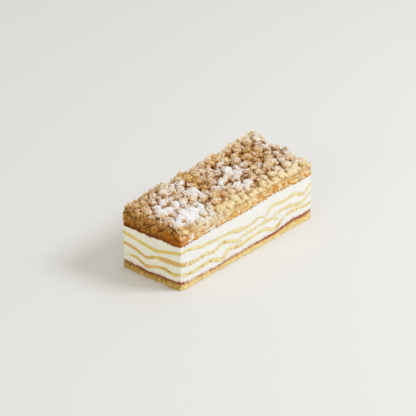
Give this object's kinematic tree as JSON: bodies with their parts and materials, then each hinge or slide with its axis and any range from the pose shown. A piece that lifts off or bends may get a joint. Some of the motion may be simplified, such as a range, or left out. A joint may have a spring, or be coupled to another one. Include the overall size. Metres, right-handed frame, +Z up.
{
  "type": "layered cream puff pastry cake",
  "caption": "Long rectangular cut cake: shortcrust base with jam, whipped cream with wavy choux pastry sheets, and a choux lid under streusel lumps dusted with icing sugar.",
  "frame": {"origin": "middle of the underside of the shortcrust base, on the surface that the cake stands on", "axes": "+X along the length, +Y across the width away from the long cut face that shows in the picture, +Z up"},
  "size_m": [0.204, 0.076, 0.0804],
  "materials": {
    "shortcrust": "pale golden shortcrust, dry and finely crumbly",
    "jam": "dark red berry jam, glossy and moist",
    "cream": "white whipped cream, smooth and softly satin",
    "choux": "pale yellow moist choux pastry, matte",
    "baked_choux": "browned porous choux pastry, matte",
    "streusel": "golden brown baked streusel crumbs, matte, with icing sugar"
  },
  "bodies": {
    "root": {"shortcrust_base": "shortcrust", "jam_layer": "jam", "cream_1": "cream", "choux_sheet_1": "choux", "cream_2": "cream", "choux_sheet_2": "choux", "cream_3": "cream", "choux_sheet_3": "choux", "cream_4": "cream", "top_choux_sheet": "baked_choux", "streusel_topping": "streusel"}
  },
  "joints": []
}
